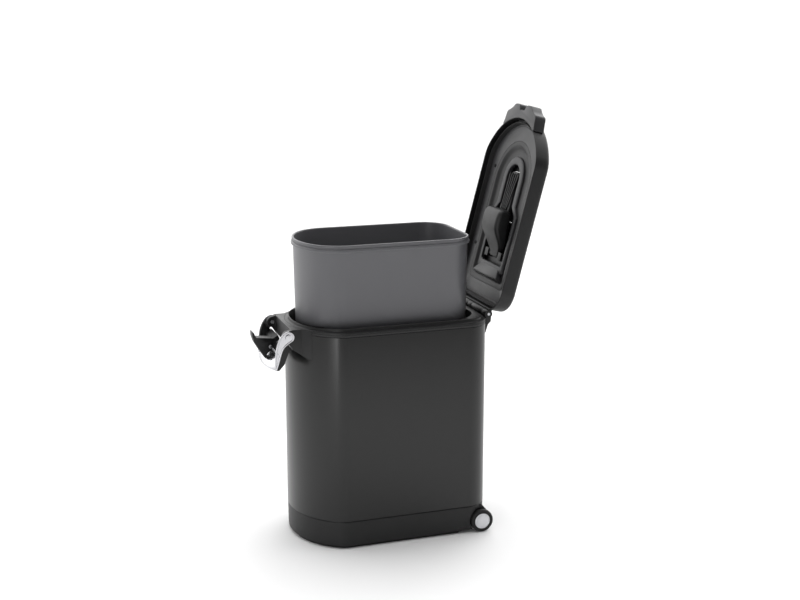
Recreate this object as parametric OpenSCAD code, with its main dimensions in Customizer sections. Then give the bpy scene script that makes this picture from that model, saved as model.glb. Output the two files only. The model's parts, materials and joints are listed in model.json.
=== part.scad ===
// Hand-operated trash compactor bin with a lift-out bucket, a press arm in the lid,
// a latching carry handle and two rear wheels.
// Millimetres, +Z up, front towards -Y. The origin is on the floor under the body's centre.

/* [Body] */
// Width of the body
body_w = 274; // [240:1:320]
// Depth of the body from its front to its back wall
body_d = 418.7; // [380:0.1:500]
// Depth of the curved front
nose_d = 100.8; // [80:0.1:110]
// Radius where the front curve meets the flat sides
side_r = 55; // [45:1:65]
// Radius of the rear corners
rear_r = 49.2; // [35:0.1:60]
// Height of the rubber foot
foot_h = 6.5; // [4:0.5:10]
// Height of the seam between the base and the steel shell
base_h = 62.6; // [50:0.1:80]
// Height of the seam between the steel shell and the collar
shell_top = 468.8; // [420:0.1:560]
// Wall of the steel shell
shell_t = 1.5; // [1:0.1:2]
// Wall of the plastic mouldings
wall_t = 3; // [2:0.1:4]

/* [Collar] */
// Height of the collar's outer ledge above the shell
ledge_h = 10.6; // [8:0.1:16]
// Height of the collar's inner lip above the ledge
lip_h = 6; // [4:0.1:8]
// Width of the collar's outer ledge
ledge_w = 8; // [6:0.5:10]
// Depth of the bucket's seat below the top of the lip
seat_drop = 63; // [60:1:80]

/* [Bucket] */
// Gap between the bucket's rim and the body's side
side_gap = 21.2; // [18:0.1:26]
// Gap between the bucket's rim and the body's front
front_gap = 17.4; // [15:0.1:24]
// Gap between the bucket's rim and the body's back
rear_gap = 26.2; // [24:0.1:32]
// Height of the bucket
bucket_h = 385; // [300:1:390]
// How far the bucket stands above its seat when it is lifted
bucket_lift = 220.1; // [200:0.1:240]
// How far each wall of the bucket leans in towards its bottom
bucket_taper = 6; // [3:0.5:10]
// Wall of the bucket
bucket_t = 2.2; // [1.6:0.1:3]

/* [Lid] */
// Height of the lid's side wall
lid_h = 35; // [30:0.5:42]
// Angle that the lid opens from closed
lid_open = 104.8; // [90:0.1:110]
// Distance of the hinge pin behind the body
hinge_out = 9.4; // [9:0.1:14]
// Height of the hinge pin above the lid's rim
hinge_up = 3; // [2:0.1:5]
// Radius of the hinge pin
hinge_pin_r = 3; // [2.5:0.1:4]
// Half the width of the hinge
hinge_hw = 94; // [80:1:100]

/* [Press arm] */
// Distance of the press arm's pin from the lid's back edge
press_v = 112; // [108:1:120]
// Distance of the press arm's pin above the lid's rim
press_up = 24; // [22:0.5:26]
// Radius of the press arm's pin
press_pin_r = 3; // [2.5:0.1:4]
// Half the width of the thumb pad
thumb_hw = 42; // [36:0.5:42]
// Half the width of the ribbed rod
rod_hw = 26; // [22:0.5:27]

/* [Handle] */
// Half the distance between the handle's outer faces
handle_hw = 80; // [79:0.5:88]
// Thickness of the handle's sheet metal
handle_t = 2.5; // [2:0.1:3]
// Distance of the handle's pivots in front of the body
pivot_out = 15.2; // [14:0.1:20]
// Height of the handle's pivots below the collar seam
pivot_drop = 4.3; // [3:0.1:8]
// Radius of the handle's studs
stud_r = 4; // [3:0.1:5]
// Half the width of the latch hook
hook_hw = 11; // [8:0.5:13]

/* [Wheels] */
// Radius of a wheel
wheel_r = 25.6; // [20:0.1:32]
// Width of a wheel
wheel_w = 13; // [10:0.5:16]
// Distance of the axle in front of the back wall
axle_in = 17.2; // [14:0.1:26]
// Radius of the axle
axle_r = 4; // [3:0.1:5]

/* [Hidden] */

// air between pieces that are joined, and between pieces that move
seam = 0.3;
play = 0.5;
pin_play = 0.05;
opening_gap = 6;
arc_step = 6;

body_hw = body_w / 2;
rear_y = body_d / 2;
front_y = -body_d / 2;
curve_y = front_y + nose_d;
base_top = max(base_h, 2 * wheel_r + 9);
ledge_z = shell_top + ledge_h;
lip_z = ledge_z + lip_h;
seat_z = lip_z - seat_drop;
rim_z = ledge_z + 1;
hinge_y = rear_y + hinge_out;
hinge_z = rim_z + hinge_up;
lid_top = rim_z + lid_h;
pivot_y = front_y - pivot_out;
pivot_z = shell_top - pivot_drop;
axle_y = rear_y - axle_in;
wheel_in = body_hw + 4.6 - wheel_w;
fairing_w = 10.7;

// the hook's pin, from the handle's pivots
hook_y = -23.5;
hook_z = -34;
hook_pin_r = 2;

// widths of the hinge's knuckles
knuckle = 22;
knuckle_r = 8.5;

// the bucket's bead hangs on the seat, and its rim is a little above it
bead_h = 6;
rim_h = 15;
bead_z = seat_z + bucket_lift + seam;
bucket_top = bead_z + rim_h;
bucket_bottom = bucket_top - bucket_h;
bucket_curve = nose_d - 6.4;
bucket_side_r = side_r + 32.5;
bucket_rear_r = rear_r + 11.8;

// arc of points about a centre, from one angle to another
function arc(cx, cy, r, a0, a1) = let (n = max(2, ceil(abs(a1 - a0) / arc_step)))
  [for (i = [0:n]) [cx + r * cos(a0 + (a1 - a0) * i / n), cy + r * sin(a0 + (a1 - a0) * i / n)]];

// closed outline with flat sides, a round-cornered back and a three-arc front
function outline(hw, fy, cy, sr, ry, rr) =
  let (b = cy - fy, k = hw - sr, big = (k * k + b * b - sr * sr) / (2 * (b - sr)),
       lean = atan2(big - b, k))
  concat(
    arc(hw - rr, ry - rr, rr, 0, 90),
    arc(-(hw - rr), ry - rr, rr, 90, 180),
    arc(-k, cy, sr, 180, 180 + lean),
    arc(0, fy + big, big, 180 + lean + 3, 360 - lean - 3),
    arc(k, cy, sr, 360 - lean, 360));

// the body's outline moved in by a distance
module body_shape(inset = 0) {
  polygon(outline(body_hw - inset, front_y + inset, curve_y, side_r - inset,
    rear_y - inset, rear_r - inset));
}

// the bucket rim's outline moved in by a distance
module bucket_shape(inset = 0) {
  polygon(outline(body_hw - side_gap - inset, front_y + front_gap + inset,
    front_y + front_gap + bucket_curve, bucket_side_r - inset,
    rear_y - rear_gap - inset, bucket_rear_r - inset));
}

// upright band of the body's outline between two insets
module band(z0, z1, outer, inner) {
  translate([0, 0, z0]) linear_extrude(z1 - z0) difference() {
    body_shape(outer);
    body_shape(inner);
  }
}

// a side profile in Y and Z made as wide as stated in X
module across(x0, x1) {
  translate([x0, 0, 0]) rotate([90, 0, 90]) linear_extrude(x1 - x0) children();
}

// round bar along X
module bar(x0, x1, y, z, r, fn = 48) {
  translate([x0, y, z]) rotate([0, 90, 0]) cylinder(h = x1 - x0, r = r, $fn = fn);
}

// places a lid piece drawn in its closed position
module opened() {
  translate([0, hinge_y, hinge_z]) rotate([-lid_open, 0, 0])
    translate([0, -hinge_y, -hinge_z]) children();
}

// height above the lid's rim, and distance in front of its back edge
function up(d) = rim_z + d;
function ahead(v) = rear_y - v;

// ---- body ----

// room for one wheel and its fairing in the rear corner of the base
module wheel_bay(side) {
  reach = wheel_r + 2.4;
  bar(side > 0 ? wheel_in - 15 : -body_hw - 20, side > 0 ? body_hw + 20 : 15 - wheel_in,
    axle_y, wheel_r, reach, 96);
}

module base_moulding() {
  color("#1c1c1d") difference() {
    translate([0, 0, foot_h]) linear_extrude(base_top - foot_h) body_shape(1);
    translate([0, 0, foot_h - 1]) linear_extrude(base_top) body_shape(1 + wall_t);
    for (side = [-1, 1]) wheel_bay(side);
  }
}

module base_pan() {
  color("#1c1c1d") difference() {
    translate([0, 0, foot_h + 8]) linear_extrude(wall_t) body_shape(1 + wall_t);
    for (side = [-1, 1]) wheel_bay(side);
  }
}

module foot_rail() {
  rail_w = 12;
  back_cut = rear_y - 70;
  color("#141414") difference() {
    union() {
      linear_extrude(foot_h) body_shape(8);
      translate([0, 0, foot_h]) linear_extrude(8) body_shape(8);
    }
    translate([0, 0, -1]) linear_extrude(foot_h + 20) body_shape(8 + rail_w);
    translate([-body_w, back_cut, -1]) cube([2 * body_w, body_d, foot_h + 20]);
  }
}

module outer_shell() {
  color("#2a2a2b") band(base_top + seam, shell_top - seam, 0, shell_t);
}

module collar_ring() {
  skirt_z = seat_z + 1;
  color("#1e1e1f") difference() {
    union() {
      band(shell_top, ledge_z, 0, ledge_w + 2);
      translate([0, 0, shell_top]) linear_extrude(lip_z - shell_top) body_shape(ledge_w);
      translate([0, 0, skirt_z]) linear_extrude(lip_z - skirt_z) bucket_shape(-opening_gap - 3);
    }
    translate([0, 0, skirt_z - 1]) linear_extrude(lip_z) bucket_shape(-opening_gap);
    band(shell_top - 40, shell_top - seam, -5, shell_t + seam);
    lip_cut();
  }
}

// flat across the back of the collar's lip where the lid's rear wall comes down
module lip_cut() {
  translate([-body_w, rear_y - ledge_w - 3, ledge_z]) cube([2 * body_w, 40, 40]);
}

module seat_ring() {
  color("#1e1e1f") difference() {
    translate([0, 0, seat_z - 10]) linear_extrude(10) body_shape(shell_t + seam);
    translate([0, 0, seat_z - 11]) linear_extrude(12) bucket_shape(3);
  }
}

module bracket_profile() {
  polygon([[curve_y + 30, shell_top - 48], [front_y + 24, shell_top - 53],
    [front_y - 4.5, shell_top - 33.6], [pivot_y - 2, pivot_z - 10], [pivot_y - 2, pivot_z + 11],
    [front_y - 6, ledge_z - seam], [curve_y + 30, ledge_z - seam]]);
}

module front_bracket() {
  lug_in = handle_hw - handle_t - play - 13;
  lug_out = handle_hw - handle_t - play;
  back = curve_y + 20;
  color("#232324") difference() {
    union() {
      intersection() {
        across(-body_hw, body_hw) bracket_profile();
        linear_extrude(lid_top) polygon([[-94, back], [-94, front_y + 33],
          [-lug_out, front_y + 14], [-lug_out, pivot_y - 3], [-lug_in, pivot_y - 3],
          [-lug_in, front_y - 8], [lug_in, front_y - 8], [lug_in, pivot_y - 3],
          [lug_out, pivot_y - 3], [lug_out, front_y + 14], [94, front_y + 33], [94, back]]);
      }
      bar(-lug_out, -lug_in, pivot_y, pivot_z, 11.5);
      bar(lug_in, lug_out, pivot_y, pivot_z, 11.5);
    }
    linear_extrude(lid_top) body_shape(-seam);
    for (side = [-1, 1]) bar(side > 0 ? lug_in - 1 : -lug_out - 1,
      side > 0 ? lug_out + 1 : 1 - lug_in, pivot_y, pivot_z, stud_r);
  }
}

module handle_studs() {
  lug_in = handle_hw - handle_t - play - 13;
  color("#9a9a9c") for (side = [-1, 1])
    bar(side > 0 ? lug_in : -handle_hw - 0.5, side > 0 ? handle_hw + 0.5 : -lug_in,
      pivot_y, pivot_z, stud_r);
}

module hinge_bracket() {
  color("#161617") difference() {
    union() {
      across(-hinge_hw, hinge_hw) polygon([[rear_y - 5, shell_top - 26],
        [rear_y + 2.5, shell_top - 26], [hinge_y - 1, shell_top - 8],
        [hinge_y + 5, shell_top - 2], [hinge_y + 6, ledge_z - 3], [rear_y - 5, ledge_z - 3]]);
      for (x = [-hinge_hw, -knuckle / 2, hinge_hw - knuckle])
        bar(x, x + knuckle, hinge_y, hinge_z, knuckle_r);
    }
    linear_extrude(lid_top) body_shape(-seam);
    for (x = [-hinge_hw + knuckle, knuckle / 2])
      bar(x - play, x + hinge_hw - 1.5 * knuckle + play, hinge_y, hinge_z, knuckle_r + 1.5);
    bar(-hinge_hw - 1, hinge_hw + 1, hinge_y, hinge_z, hinge_pin_r);
  }
}

module hinge_pin() {
  color("#b9babd") bar(-hinge_hw - 1, hinge_hw + 1, hinge_y, hinge_z, hinge_pin_r);
}

module wheel_axle() {
  color("#8f9092") bar(-wheel_in - wheel_w + 2, wheel_in + wheel_w - 2, axle_y, wheel_r, axle_r);
}

// rounded housing behind a wheel that runs up to a point and holds the axle
module fairing(side) {
  bay = wheel_r - 1.5;
  x0 = side > 0 ? wheel_in - fairing_w - 1 : 1 - wheel_in;
  color("#161617") difference() {
    union() {
      bar(x0, x0 + fairing_w, axle_y, wheel_r, bay, 96);
      difference() {
        across(x0, x0 + fairing_w) polygon([[axle_y, wheel_r + 8], [axle_y - 6, base_top - 3],
          [axle_y + 3, base_top - 3], [axle_y + bay * 0.8, wheel_r + bay * 0.6]]);
        linear_extrude(base_top) body_shape(1 - seam);
      }
    }
    bar(x0 - 1, x0 + 12, axle_y, wheel_r, axle_r);
  }
}

module base_screws() {
  color("#808184") for (x = [-70, 70], y = [front_y + 80, rear_y - 60])
    translate([x, y, foot_h + 8 - 2]) cylinder(h = 2, r = 4, $fn = 24);
}

// ---- bucket ----

module bucket() {
  wall_in = 4.5;
  color("#68686a") union() {
    difference() {
      hull() {
        translate([0, 0, bucket_bottom]) linear_extrude(1) bucket_shape(wall_in + bucket_taper);
        translate([0, 0, bead_z + 1]) linear_extrude(1) bucket_shape(wall_in);
      }
      hull() {
        translate([0, 0, bucket_bottom + bucket_t]) linear_extrude(1)
          bucket_shape(wall_in + bucket_taper + bucket_t);
        translate([0, 0, bead_z + 3]) linear_extrude(1) bucket_shape(wall_in + bucket_t);
      }
    }
    translate([0, 0, bead_z + 1.5]) linear_extrude(rim_h - 1.5 - bead_h) difference() {
      bucket_shape(wall_in - 1);
      bucket_shape(wall_in + bucket_t);
    }
    translate([0, 0, bead_z]) linear_extrude(bead_h) difference() {
      bucket_shape(0);
      bucket_shape(wall_in + bucket_t - 0.4);
    }
    translate([0, 0, bucket_top - bead_h]) linear_extrude(bead_h) difference() {
      bucket_shape(2);
      bucket_shape(wall_in + bucket_t);
    }
  }
}

// ---- lid, drawn closed ----

module nose_shape() {
  polygon([[-78, ahead(390)], [-76, ahead(428)], [-62, ahead(434)], [-42, ahead(447)],
    [-17, ahead(446)], [-12, ahead(436)], [12, ahead(436)], [17, ahead(446)],
    [42, ahead(447)], [62, ahead(434)], [76, ahead(428)], [78, ahead(390)]]);
}

module lid_cover() {
  edge = 9;
  skin = 2.5;
  color("#1d1d1e") opened() difference() {
    union() {
      hull() {
        translate([0, 0, rim_z]) linear_extrude(lid_h - edge) body_shape(0);
        translate([0, 0, lid_top - edge * 0.4]) linear_extrude(0.1) body_shape(edge * 0.25);
        translate([0, 0, lid_top - 0.1]) linear_extrude(0.1) body_shape(edge);
      }
      translate([0, 0, rim_z]) linear_extrude(26) nose_shape();
    }
    translate([0, 0, rim_z - 1]) linear_extrude(lid_h - skin + 1) body_shape(skin + 6);
    translate([0, 0, rim_z - 1]) linear_extrude(lid_h - 13) body_shape(skin);
    grip_hole(0);
  }
}

// opening in the lid's top that the press arm's grip fills
module grip_hole(inset) {
  translate([0, 0, lid_top - 8]) linear_extrude(20)
    translate([-rod_hw - 0.5 + inset, ahead(301) + inset])
      square([2 * (rod_hw + 0.5 - inset), 111 - 2 * inset]);
}

// outline of the opening in the lid's frame that the panel fills
module panel_shape(inset) {
  hw = 94 - inset;
  polygon(concat([[hw, ahead(44) - inset], [-hw, ahead(44) - inset]],
    arc(0, ahead(368) + 94, hw, 180, 360)));
}

module keyhole_shape(grow) {
  hw = 32.5 + grow;
  low = 56 + 0.7 * grow;
  polygon(concat([[low, ahead(92) + grow], [-low, ahead(92) + grow], [-low, ahead(203)],
    [-hw, ahead(226)]], arc(0, ahead(316) + 32.5, hw, 180, 360),
    [[hw, ahead(226)], [low, ahead(203)]]));
}

module lid_frame() {
  color("#2e2e2f") opened() translate([0, 0, up(18)]) linear_extrude(2.5) difference() {
    body_shape(2.5 + seam);
    panel_shape(0);
  }
}

module lid_seal() {
  color("#101010") opened() band(up(8), up(18) - 0.01, 9, 14);
}

module lid_panel() {
  color("#262627") opened() difference() {
    union() {
      translate([0, 0, up(18)]) linear_extrude(2.5) panel_shape(seam);
      translate([0, 0, up(18)]) linear_extrude(6.5) panel_shape(6);
      across(-62, 62) polygon([[ahead(60), up(18)], [ahead(64), up(11)], [ahead(84), up(20)]]);
    }
    translate([0, 0, up(18) - 1]) linear_extrude(6) difference() {
      panel_shape(8);
      translate([-100, ahead(88)]) square([200, 100]);
    }
    translate([0, 0, up(0)]) linear_extrude(40) keyhole_shape(0);
  }
}

module keyhole_ring() {
  color("#39393a") opened() translate([0, 0, up(19)]) linear_extrude(3.9) difference() {
    keyhole_shape(18);
    keyhole_shape(0);
    translate([-100, ahead(120)]) square([200, 100]);
  }
}

module press_blocks() {
  reach = 44;
  color("#1d1d1e") opened() difference() {
    for (side = [-1, 1]) translate([side > 0 ? 28 : -reach, ahead(press_v + 9), up(press_up) - 5])
      cube([reach - 28, 18, lid_h - 2.5 - press_up + 5]);
    bar(-60, 60, ahead(press_v), up(press_up), press_pin_r);
  }
}

module hinge_leaf() {
  color("#161617") opened() difference() {
    union() {
      for (x = [-hinge_hw + knuckle, knuckle / 2]) {
        w = hinge_hw - 1.5 * knuckle;
        bar(x + play, x + w - play, hinge_y, hinge_z, knuckle_r);
        translate([x + play, rear_y, hinge_z]) cube([w - 2 * play, hinge_out + 4, 16]);
      }
    }
    bar(-hinge_hw, hinge_hw, hinge_y, hinge_z, hinge_pin_r + pin_play);
  }
}

module lid_screws() {
  color("#808184") opened() for (x = [-104, 104], v = [120, 300])
    translate([x, ahead(v), up(18) - 1.6]) cylinder(h = 1.6, r = 4, $fn = 24);
}

// ---- press arm, in the lid ----

// tapered rod from the thumb pad to the arm's end, with its front face at a depth
module rod(front) {
  end_hw = rod_hw * 0.54;
  intersection() {
    across(-rod_hw, rod_hw) polygon([[ahead(196), up(front - 3)], [ahead(300), up(front + 4)],
      [ahead(300), up(29)], [ahead(196), up(25)]]);
    linear_extrude(lid_top + 10) polygon([[-rod_hw, ahead(196)], [-end_hw, ahead(300)],
      [end_hw, ahead(300)], [rod_hw, ahead(196)]]);
  }
}

module press_arm() {
  color("#2b2b2c") opened() difference() {
    union() {
      hull() {
        bar(-thumb_hw + 4, thumb_hw - 4, ahead(182), up(1.5), 12, 32);
        bar(-thumb_hw, thumb_hw, ahead(200), up(6), 12, 32);
        bar(-thumb_hw, thumb_hw, ahead(162), up(10), 12, 32);
        bar(-thumb_hw, thumb_hw, ahead(198), up(16), 9, 32);
      }
      hull() {
        bar(-thumb_hw + 6, thumb_hw - 6, ahead(164), up(12), 10, 32);
        bar(-16, 16, ahead(press_v), up(press_up), 7, 32);
      }
      rod(19.5);
      for (i = [-1:1]) hull() {
        translate([i * 17 - 3, ahead(204), up(15)]) cube([6, 1, 5]);
        translate([i * 9 - 2, ahead(298), up(21)]) cube([4, 1, 5]);
      }
    }
    bar(-60, 60, ahead(press_v), up(press_up), press_pin_r + pin_play);
  }
}

module press_grip() {
  post_hw = rod_hw * 0.5;
  color("#242425") opened() difference() {
    union() {
      intersection() {
        grip_hole(1);
        translate([-100, ahead(400), lid_top - 5]) cube([200, 400, 4.5]);
      }
      translate([-post_hw, ahead(298), up(20)]) cube([2 * post_hw, 90, lid_top - 5 - up(20)]);
    }
    translate([-14, ahead(280), lid_top - 3]) cube([28, 60, 5]);
    across(-60, 60) polygon([[ahead(196), up(0)], [ahead(300), up(0)], [ahead(300), up(29)],
      [ahead(196), up(25)]]);
  }
}

module press_pin() {
  color("#b9babd") opened() bar(-43, 43, ahead(press_v), up(press_up), press_pin_r);
}

module press_spring() {
  color("#8f9092") opened() difference() {
    bar(22.7, 27.5, ahead(press_v), up(press_up), 5.5, 32);
    bar(22, 28, ahead(press_v), up(press_up), press_pin_r + 0.4, 32);
  }
}

// ---- handle ----

// points of the channel's front edge and back edge, from its pivot down
function along(y, z) = [pivot_y + y, pivot_z + z];

module flange_shape() {
  polygon([along(-9, 11), along(-17, 2), along(-26, -19.5), along(-29.5, -42), along(-30.5, -64),
    along(-29, -70), along(-26, -70), along(-19.2, -47.7), along(-12.2, -24), along(3, -12.2),
    along(11.5, -4), along(8, 9)]);
  translate([pivot_y, pivot_z]) circle(r = 12.6, $fn = 64);
}

// one cross-section of the web at a share of its half span, front face first
function web_section(share) =
  let (x = share * (handle_hw - 1), bow = 1 - share * share, y = -28.5 - 11 * bow,
       z = -69.5 - 3.5 * bow)
  [[x, pivot_y - 21.8, pivot_z - 46], [x, pivot_y - 19.4, pivot_z - 46],
   [x, pivot_y + y + 2.4, pivot_z + z], [x, pivot_y + y, pivot_z + z]];

// sheet across the bottom of the handle, whose lower edge bows forwards
module web() {
  n = 16;
  points = [for (i = [0:n]) for (p = web_section(2 * i / n - 1)) p];
  sides = [for (i = [0:n - 1], k = [0:3]) for (f = [
    [4 * i + k, 4 * i + (k + 1) % 4, 4 * i + 4 + (k + 1) % 4],
    [4 * i + k, 4 * i + 4 + (k + 1) % 4, 4 * i + 4 + k]]) f];
  polyhedron(points, concat(sides, [[3, 2, 1, 0], [4 * n, 4 * n + 1, 4 * n + 2, 4 * n + 3]]));
}

// opening in the lining for the latch hook
module hook_window() {
  across(-hook_hw - 3, hook_hw + 3)
    polygon([along(-22, -46), along(-30, -10), along(10, -5), along(2, -53)]);
}

module handle_channel() {
  color("#c9cacc") difference() {
    union() {
      for (side = [-1, 1]) across(side > 0 ? handle_hw - handle_t : -handle_hw,
        side > 0 ? handle_hw : handle_t - handle_hw) flange_shape();
      web();
    }
    bar(-handle_hw - 2, handle_hw + 2, pivot_y, pivot_z, stud_r + pin_play);
    bar(-handle_hw - 2, handle_hw + 2, pivot_y + hook_y, pivot_z + hook_z, hook_pin_r);
  }
}

module handle_lining() {
  outer = handle_hw - handle_t - seam;
  cheek_t = 3;
  color("#171718") difference() {
    union() {
      across(-outer, outer) polygon([along(-11.7, -24.5), along(-0.5, -17), along(3.5, -24),
        along(-1, -37), along(-9, -58), along(-20, -70), along(-25.4, -71), along(-18.7, -48)]);
      for (x = [-outer, outer - cheek_t]) across(x, x + cheek_t) polygon([along(-14.5, -6),
        along(-18, -2), along(-24.5, -20), along(-28, -42), along(-28.5, -44), along(-15, -44),
        along(-9, -28), along(-3, -21), along(-4, -15.5), along(-11, -12)]);
    }
    hook_window();
    bar(-handle_hw, handle_hw, pivot_y + hook_y, pivot_z + hook_z, hook_pin_r);
  }
}

module cap(side) {
  color("#c9cacc") difference() {
    bar(side > 0 ? handle_hw + seam : -handle_hw - 2.3, side > 0 ? handle_hw + 2.3 : -handle_hw - seam,
      pivot_y, pivot_z, 6.5);
    bar(side > 0 ? handle_hw : -handle_hw - 0.6, side > 0 ? handle_hw + 0.6 : -handle_hw,
      pivot_y, pivot_z, stud_r + 0.1);
  }
}

module hook_pin() {
  color("#9a9a9c") bar(-handle_hw, handle_hw, pivot_y + hook_y, pivot_z + hook_z,
    hook_pin_r);
}

module latch_hook() {
  color("#1b1b1c") difference() {
    across(-hook_hw, hook_hw) union() {
      polygon([along(-61.8, -0.2), along(-58.8, -1), along(-53.3, -13), along(-15, -17),
        along(-16.5, -30), along(-20.5, -43), along(-27, -46), along(-31, -51),
        along(-31.5, -57), along(-34.5, -60), along(-39.5, -52), along(-49, -38),
        along(-58, -22), along(-61.5, -10)]);
    }
    bar(-60, 60, pivot_y + hook_y, pivot_z + hook_z, hook_pin_r + pin_play);
  }
}

module hook_spring() {
  color("#8f9092") difference() {
    bar(hook_hw + 1, hook_hw + 6, pivot_y + hook_y, pivot_z + hook_z, 4, 32);
    bar(hook_hw, hook_hw + 7, pivot_y + hook_y, pivot_z + hook_z, hook_pin_r + 0.2, 32);
  }
}

// ---- wheels ----

module tyre(side) {
  color("#141414") translate([side > 0 ? wheel_in : -wheel_in - wheel_w, axle_y, wheel_r])
    rotate([0, 90, 0]) rotate_extrude($fn = 96) polygon([[wheel_r - 8, 0], [wheel_r - 2, 0],
      [wheel_r, 2], [wheel_r, wheel_w - 2], [wheel_r - 2, wheel_w], [wheel_r - 8, wheel_w]]);
}

module hub(side) {
  color("#c8c9cb") difference() {
    bar(side > 0 ? wheel_in + 0.5 : -wheel_in - wheel_w + 0.5,
      side > 0 ? wheel_in + wheel_w - 0.5 : -wheel_in - 0.5, axle_y, wheel_r, wheel_r - 8, 96);
    bar(side > 0 ? wheel_in : -wheel_in - wheel_w, side > 0 ? wheel_in + wheel_w : -wheel_in,
      axle_y, wheel_r, axle_r + pin_play);
  }
}

module hub_cap(side) {
  color("#bfc0c2") bar(side > 0 ? wheel_in + wheel_w - 0.5 : -wheel_in - wheel_w - 0.3,
    side > 0 ? wheel_in + wheel_w + 0.3 : -wheel_in - wheel_w + 0.5, axle_y, wheel_r, 12);
}

base_moulding();
base_pan();
foot_rail();
outer_shell();
collar_ring();
seat_ring();
front_bracket();
handle_studs();
hinge_bracket();
hinge_pin();
wheel_axle();
fairing(-1);  // fairing_left
fairing(1);  // fairing_right
base_screws();
bucket();
lid_cover();
lid_frame();
lid_seal();
lid_panel();
keyhole_ring();
press_blocks();
hinge_leaf();
lid_screws();
press_arm();
press_grip();
press_pin();
press_spring();
handle_channel();
handle_lining();
cap(-1);  // cap_left
cap(1);  // cap_right
hook_pin();
latch_hook();
hook_spring();
tyre(-1);  // tyre_left
hub(-1);  // hub_left
hub_cap(-1);  // hub_cap_left
tyre(1);  // tyre_right
hub(1);  // hub_right
hub_cap(1);  // hub_cap_right
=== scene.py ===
import json
from math import atan2, cos, pi, radians, sin

import bmesh
import bpy
from mathutils import Matrix, Vector


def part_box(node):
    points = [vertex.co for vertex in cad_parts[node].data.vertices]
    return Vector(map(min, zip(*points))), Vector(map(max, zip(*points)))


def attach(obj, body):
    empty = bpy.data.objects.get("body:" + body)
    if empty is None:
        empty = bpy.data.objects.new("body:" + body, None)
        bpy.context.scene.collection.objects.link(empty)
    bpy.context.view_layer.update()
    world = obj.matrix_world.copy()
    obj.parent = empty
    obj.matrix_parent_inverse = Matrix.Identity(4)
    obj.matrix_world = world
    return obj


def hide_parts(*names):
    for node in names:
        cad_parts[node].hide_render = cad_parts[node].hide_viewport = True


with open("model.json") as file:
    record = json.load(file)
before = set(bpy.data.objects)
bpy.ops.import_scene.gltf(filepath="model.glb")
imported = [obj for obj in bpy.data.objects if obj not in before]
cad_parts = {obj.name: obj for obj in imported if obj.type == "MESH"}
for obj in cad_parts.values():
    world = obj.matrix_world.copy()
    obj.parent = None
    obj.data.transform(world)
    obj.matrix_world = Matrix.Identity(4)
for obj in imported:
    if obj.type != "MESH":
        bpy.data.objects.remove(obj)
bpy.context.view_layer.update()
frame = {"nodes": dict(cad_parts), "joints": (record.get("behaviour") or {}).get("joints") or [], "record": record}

MM = 0.001
BODY_OF = {n: b for b, ns in frame["record"]["behaviour"]["bodies"].items() for n in ns}
SLOT_OF = {s["node"]: s["material_slot"] for s in frame["record"]["subparts"]}


# ---------------------------------------------------------------- places from the frame, in mm

def box_mm(node):
    """The low and high corners of a CAD node's box."""
    low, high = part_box(node)
    return low / MM, high / MM


shell_high = box_mm("outer_shell")[1]
base_low, base_high = box_mm("base_moulding")
collar_low, collar_high = box_mm("collar_ring")
bucket_low, bucket_high = box_mm("bucket")
wheel_low, wheel_high = box_mm("tyre_right")
stud_high = box_mm("handle_studs")[1]
joint = {j["name"]: j for j in frame["joints"]}
hinge = Vector(joint["lid_hinge"]["pos_m"]) / MM
lid_open = radians(joint["lid_hinge"]["range_deg"][1])

# The body's outline
body_hw = shell_high.x
body_half_d = 209.35
nose_d = 100.8  # depth of the rounded front
side_r = 55.0  # where a flat side turns into the front
rear_r = 49.2
# The bucket's rim, set in from the body's outline and rounder than it
side_gap = 21.2
front_gap = 17.4
rear_gap = 26.2
rim_nose_less = 6.4
rim_side_more = 32.5
rim_rear_more = 11.8
bead_h = 15.0
# Heights
seam = 0.3
lip_h = 6.0
lid_h = 35.0
pin_over_rim = 3.0
base_top = base_high.z
shell_top = shell_high.z + seam
lip_z = collar_high.z
ledge_z = lip_z - lip_h
rim_z = hinge.z - pin_over_rim
lid_top = rim_z + lid_h
bead_z = bucket_high.z - bead_h
# The wheels and the axle
axle_y = (wheel_low.y + wheel_high.y) / 2
axle_z = (wheel_low.z + wheel_high.z) / 2
wheel_r = (wheel_high.z - wheel_low.z) / 2
axle_hole_r = 4.1
# The lid's inside, as distances from its back edge and half widths
panel_hw, panel_near, panel_far, panel_r = 94, 44, 368, 12
panel_gap = 0.3
waist_near, waist_far = 203, 226  # where a back wider than the rest narrows
keyhole_hw, keyhole_back_hw, keyhole_near, keyhole_far, keyhole_r = 32.5, 56, 92, 316, 8
ramp_near, ramp_far = 58, 90
# The press rod's two ends: distance, half width, and depths of its front and back
ROD_ENDS = [(196, 26, 17, 25), (300, 14, 23.7, 29)]


# ---------------------------------------------------------------- outlines

ARC_POINTS = 22
ROUND_POINTS = 96


def arc(cx, cy, r, a0, a1, count=ARC_POINTS):
    """Points of an arc, with its last point left to the next stretch."""
    steps = (a0 + (a1 - a0) * i / count for i in range(count))
    return [(cx + r * cos(a), cy + r * sin(a)) for a in steps]


def d_outline(hw, front, curve, sr, rear, rr):
    """A closed outline with flat sides, a round-cornered back and a three-arc front."""
    b = curve - front
    k = hw - sr
    big = (k * k + b * b - sr * sr) / (2 * (b - sr))
    lean = atan2(big - b, k)
    points = arc(hw - rr, rear - rr, rr, 0, pi / 2)
    points += arc(rr - hw, rear - rr, rr, pi / 2, pi)
    points += arc(-k, curve, sr, pi, pi + lean)
    points += arc(0, front + big, big, pi + lean, 2 * pi - lean, 2 * ARC_POINTS)
    points += arc(k, curve, sr, 2 * pi - lean, 2 * pi)
    return points


def body_outline(inset):
    """The body's outline moved in by inset."""
    return d_outline(body_hw - inset, inset - body_half_d, nose_d - body_half_d, side_r - inset,
                     body_half_d - inset, rear_r - inset)


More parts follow.
